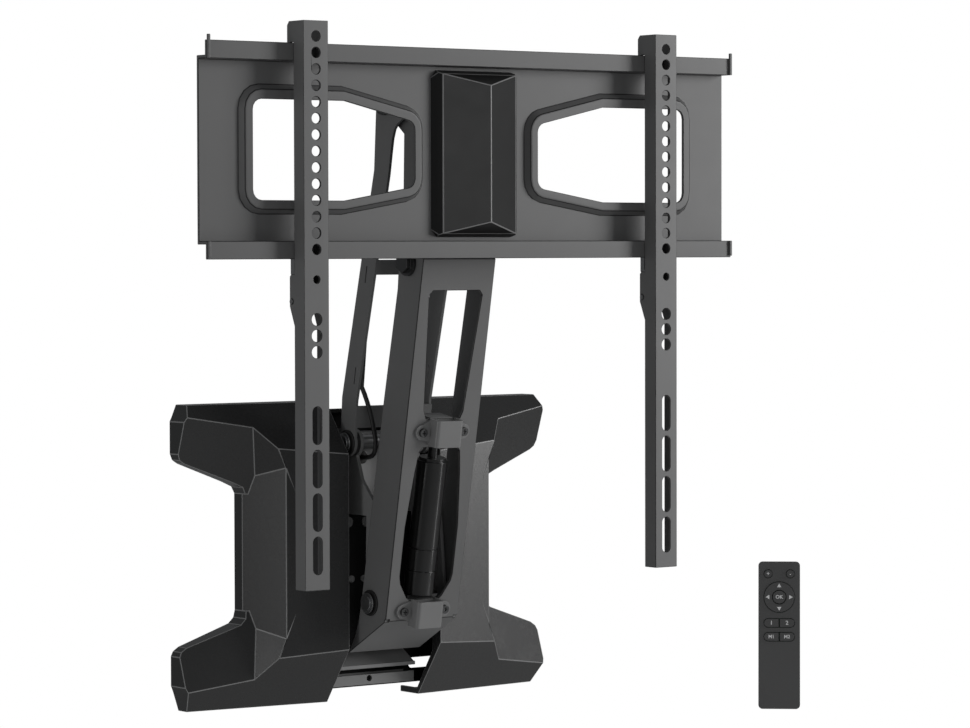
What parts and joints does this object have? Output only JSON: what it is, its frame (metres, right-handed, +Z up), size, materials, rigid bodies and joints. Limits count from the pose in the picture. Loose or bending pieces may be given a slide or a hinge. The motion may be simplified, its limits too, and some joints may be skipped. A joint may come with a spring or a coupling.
{
  "type": "motorized pull-down tv wall mount",
  "caption": "Wall-mounted parallel-arm TV bracket: a gear motor in the front arm lowers and raises the swivelling TV plate with its two sliding rails; remote control beside it.",
  "frame": {"origin": "centre of the wall plate's back face, on the wall", "axes": "+Y into the wall, +Z up, +X to the right for a viewer who faces the wall; millimetre model, the TV plate stands on the minus Y side"},
  "size_m": [0.6028, 0.1918, 0.5654],
  "materials": {
    "powder_coat": "satin powder coat",
    "rail_coat": "satin powder coat",
    "light_coat": "satin powder coat",
    "zinc_steel": "zinc plated",
    "bronze": "machined",
    "cover_plastic": "fine texture",
    "black_enamel": "gloss enamel",
    "black_plastic": "matt",
    "board_green": "solder mask",
    "remote_plastic": "satin",
    "key_plastic": "satin"
  },
  "bodies": {
    "base": {"wall_plate": "powder_coat", "bottom_bar": "light_coat", "bracket_l": "light_coat", "bracket_r": "light_coat", "front_shaft": "zinc_steel", "rear_shaft": "zinc_steel", "shaft_clips": "zinc_steel", "cover_l": "cover_plastic", "cover_r": "cover_plastic", "cover_screws": "zinc_steel", "control_box": "light_coat", "control_lid": "light_coat", "circuit_board": "board_green", "cable_gland": "black_plastic", "power_socket": "black_plastic", "worm_wheel": "bronze", "remote_face": "remote_plastic", "remote_back": "remote_plastic", "remote_board": "board_green", "remote_cells": "zinc_steel"},
    "front_link": {"front_arm": "powder_coat", "front_bushes": "black_plastic", "motor_tube": "black_enamel", "gear_head": "zinc_steel", "gearbox": "black_enamel", "motor_hanger": "powder_coat", "saddle_upper": "powder_coat", "saddle_lower": "powder_coat", "saddle_screws": "zinc_steel"},
    "drive_worm": {"worm": "zinc_steel"},
    "rear_link": {"rear_arm": "powder_coat", "rear_bushes": "black_plastic", "head_cable": "black_plastic"},
    "head": {"head_bracket": "powder_coat", "front_bolts": "zinc_steel", "rear_bolts": "zinc_steel", "swivel_pin": "zinc_steel", "swivel_gear": "bronze"},
    "tv_frame": {"tv_plate": "powder_coat", "end_stops": "powder_coat", "swivel_motor": "zinc_steel", "centre_cover": "cover_plastic"},
    "pinion": {"swivel_pinion": "zinc_steel"},
    "left_rail": {"rail_l": "rail_coat", "latch_spring_l": "zinc_steel"},
    "right_rail": {"rail_r": "rail_coat", "latch_spring_r": "zinc_steel"},
    "left_latch": {"latch_l": "zinc_steel"},
    "right_latch": {"latch_r": "zinc_steel"},
    "b_key_a": {"key_a": "key_plastic"},
    "b_key_b": {"key_b": "key_plastic"},
    "b_key_pad": {"key_pad": "key_plastic"},
    "b_key_ok": {"key_ok": "key_plastic"},
    "b_key_1": {"key_1": "key_plastic"},
    "b_key_2": {"key_2": "key_plastic"},
    "b_key_m1": {"key_m1": "key_plastic"},
    "b_key_m2": {"key_m2": "key_plastic"}
  },
  "joints": [
    {"name": "arm_swing", "type": "hinge", "parent": "base", "child": "front_link", "pos_m": [0, -0.073, -0.039], "axis": [1, 0, 0], "range_deg": [-5, 100]},
    {"name": "worm_spin", "type": "hinge", "parent": "front_link", "child": "drive_worm", "pos_m": [0, -0.08716, -0.0416], "axis": [0, -0.1805, 0.9836], "range_deg": [-100, 1905]},
    {"name": "head_level", "type": "hinge", "parent": "front_link", "child": "head", "pos_m": [0, -0.127, 0.237], "axis": [1, 0, 0], "range_deg": [-101, 6]},
    {"name": "rear_swing", "type": "hinge", "parent": "base", "child": "rear_link", "pos_m": [0, -0.044, 0.09], "axis": [1, 0, 0], "range_deg": [-6, 101], "deforming": ["head_cable"]},
    {"name": "tv_swivel", "type": "hinge", "parent": "head", "child": "tv_frame", "pos_m": [0, -0.155, 0.323], "axis": [0, 0, 1], "range_deg": [-15, 15]},
    {"name": "pinion_spin", "type": "hinge", "parent": "tv_frame", "child": "pinion", "pos_m": [0, -0.176, 0.303], "axis": [0, 0, 1], "range_deg": [-50, 50]},
    {"name": "rail_left_slide", "type": "slide", "parent": "tv_frame", "child": "left_rail", "axis": [1, 0, 0], "range_m": [-0.0755, 0.11]},
    {"name": "rail_right_slide", "type": "slide", "parent": "tv_frame", "child": "right_rail", "axis": [1, 0, 0], "range_m": [-0.118, 0.0675]},
    {"name": "latch_left_turn", "type": "hinge", "parent": "left_rail", "child": "left_latch", "pos_m": [-0.1692, -0.1744, 0.208], "axis": [-1, 0, 0], "range_deg": [0, 20], "stiffness_Nm_per_rad": 0.2, "springref_deg": -28.65},
    {"name": "latch_right_turn", "type": "hinge", "parent": "right_rail", "child": "right_latch", "pos_m": [0.1772, -0.1744, 0.208], "axis": [-1, 0, 0], "range_deg": [0, 20], "stiffness_Nm_per_rad": 0.2, "springref_deg": -28.65},
    {"name": "key_a_press", "type": "slide", "parent": "base", "child": "b_key_a", "axis": [0.6579, 0.7463, -0.1011], "range_m": [0, 0.0006], "stiffness_N_per_m": 300, "springref_m": -0.0015},
    {"name": "key_b_press", "type": "slide", "parent": "base", "child": "b_key_b", "axis": [0.6579, 0.7463, -0.1011], "range_m": [0, 0.0006], "stiffness_N_per_m": 300, "springref_m": -0.0015},
    {"name": "key_pad_press", "type": "slide", "parent": "base", "child": "b_key_pad", "axis": [0.6579, 0.7463, -0.1011], "range_m": [0, 0.0006], "stiffness_N_per_m": 300, "springref_m": -0.0015},
    {"name": "key_ok_press", "type": "slide", "parent": "base", "child": "b_key_ok", "axis": [0.6579, 0.7463, -0.1011], "range_m": [0, 0.0006], "stiffness_N_per_m": 300, "springref_m": -0.0015},
    {"name": "key_1_press", "type": "slide", "parent": "base", "child": "b_key_1", "axis": [0.6579, 0.7463, -0.1011], "range_m": [0, 0.0006], "stiffness_N_per_m": 300, "springref_m": -0.0015},
    {"name": "key_2_press", "type": "slide", "parent": "base", "child": "b_key_2", "axis": [0.6579, 0.7463, -0.1011], "range_m": [0, 0.0006], "stiffness_N_per_m": 300, "springref_m": -0.0015},
    {"name": "key_m1_press", "type": "slide", "parent": "base", "child": "b_key_m1", "axis": [0.6579, 0.7463, -0.1011], "range_m": [0, 0.0006], "stiffness_N_per_m": 300, "springref_m": -0.0015},
    {"name": "key_m2_press", "type": "slide", "parent": "base", "child": "b_key_m2", "axis": [0.6579, 0.7463, -0.1011], "range_m": [0, 0.0006], "stiffness_N_per_m": 300, "springref_m": -0.0015}
  ],
  "couplings": [
    {"joint": "head_level", "follows": "arm_swing", "ratio": -1},
    {"joint": "rear_swing", "follows": "arm_swing", "ratio": 1},
    {"joint": "worm_spin", "follows": "arm_swing", "ratio": 19},
    {"joint": "pinion_spin", "follows": "tv_swivel", "ratio": 3.2}
  ]
}
